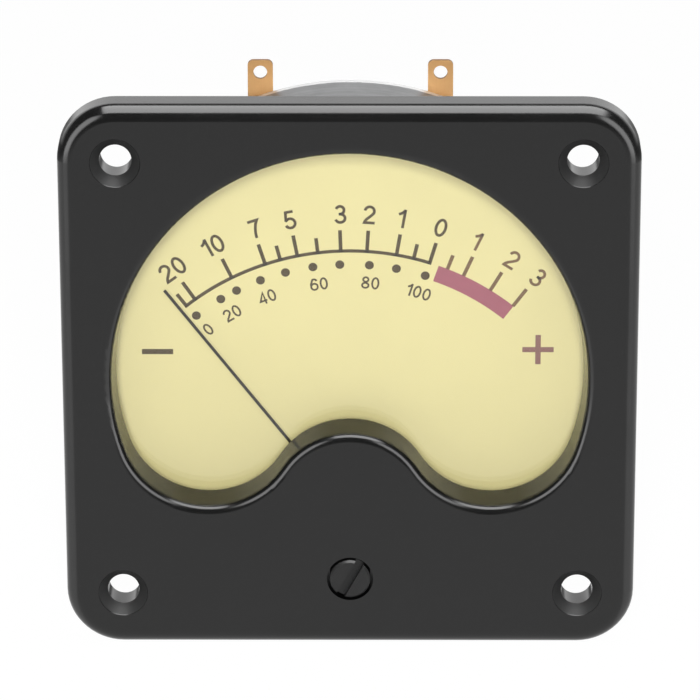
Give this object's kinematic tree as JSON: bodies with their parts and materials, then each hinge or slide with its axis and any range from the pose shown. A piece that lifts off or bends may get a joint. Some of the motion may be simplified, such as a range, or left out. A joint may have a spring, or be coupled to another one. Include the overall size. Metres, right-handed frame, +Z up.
{
  "type": "analog vu meter",
  "caption": "Square black panel meter with a kidney window, cream arc dial, pivoted pointer, zero adjuster and round rear can with solder lugs.",
  "frame": {"origin": "centre of the front plate's back face, at the middle of the four mounting holes", "axes": "+Z up the dial, +X to the viewer's right, -Y out of the dial towards the viewer; the can runs along +Y"},
  "size_m": [0.07, 0.0245, 0.07],
  "materials": {
    "black_plate": "moulded thermoset, polished",
    "clear_lens": "clear acrylic sheet",
    "adjuster_plastic": "moulded black, slotted",
    "spring_steel": "bare spring steel",
    "lever_brass": "stamped brass",
    "dial_enamel": "cream enamel, satin",
    "dial_screw_brass": "turned brass",
    "pointer_black": "black lacquer on aluminium",
    "cross_brass": "drawn brass",
    "weight_brass": "coiled brass",
    "former_aluminium": "bare aluminium",
    "copper_wire": "enamelled copper wire",
    "pivot_steel": "hardened steel, polished",
    "spring_bronze": "phosphor bronze strip",
    "jewel_brass": "turned brass",
    "bridge_aluminium": "die-cast aluminium",
    "plated_steel": "nickel plated steel",
    "magnet_alloy": "cast magnet alloy, ground",
    "spacer_brass": "milled brass",
    "soft_iron": "plated soft iron",
    "frame_plastic": "moulded black thermoset",
    "can_metal": "grey satin plated sheet steel",
    "laminate_brown": "paper laminate",
    "terminal_brass": "turned brass",
    "lug_brass": "stamped brass, warm tone",
    "board_laminate": "paper laminate board",
    "diode_black": "black glass",
    "resistor_body": "tan lacquer",
    "lead_red": "red sleeve",
    "lead_black": "black sleeve"
  },
  "bodies": {
    "case": {"front_bezel": "black_plate", "window_lens": "clear_lens", "dial_plate": "dial_enamel", "dial_screws": "dial_screw_brass", "front_hairspring": "spring_bronze", "rear_hairspring": "spring_bronze", "front_jewel_screw": "jewel_brass", "rear_jewel_screw": "jewel_brass", "jewel_locknuts": "jewel_brass", "front_bridge": "bridge_aluminium", "rear_bridge": "bridge_aluminium", "front_bridge_screws": "plated_steel", "rear_bridge_screws": "plated_steel", "pointer_stops": "plated_steel", "core_magnet": "magnet_alloy", "core_spacers": "spacer_brass", "yoke_ring": "soft_iron", "movement_frame": "frame_plastic", "frame_screws": "plated_steel", "rear_can": "can_metal", "case_screws": "plated_steel", "terminal_washers": "laminate_brown", "inner_washers": "laminate_brown", "terminal_studs": "terminal_brass", "terminal_nuts": "terminal_brass", "left_lug": "lug_brass", "right_lug": "lug_brass", "rectifier_board": "board_laminate", "rectifier_diodes": "diode_black", "series_resistor": "resistor_body", "front_lead": "lead_red", "rear_lead": "lead_black"},
    "moving_coil": {"pointer": "pointer_black", "balance_cross": "cross_brass", "balance_weights": "weight_brass", "coil_former": "former_aluminium", "coil_winding": "copper_wire", "front_staff": "pivot_steel", "rear_staff": "pivot_steel"},
    "adjuster": {"zero_adjuster": "adjuster_plastic", "adjuster_clip": "spring_steel"},
    "zero_lever": {"zero_lever": "lever_brass"}
  },
  "joints": [
    {"name": "pointer_swing", "type": "hinge", "parent": "case", "child": "moving_coil", "pos_m": [0, 0, -0.0205], "axis": [0, 1, 0], "range_deg": [-3, 77.8], "stiffness_Nm_per_rad": 0.0000021, "deforming": ["front_hairspring", "rear_hairspring"]},
    {"name": "zero_adjust", "type": "hinge", "parent": "case", "child": "adjuster", "pos_m": [0, 0, -0.0261], "axis": [0, 1, 0], "range_deg": [-50, 50]},
    {"name": "zero_lever_turn", "type": "hinge", "parent": "case", "child": "zero_lever", "pos_m": [0, 0, -0.0205], "axis": [0, 1, 0], "range_deg": [-6.3, 6.3]}
  ],
  "couplings": [
    {"joint": "zero_lever_turn", "follows": "zero_adjust", "ratio": 0.125}
  ]
}
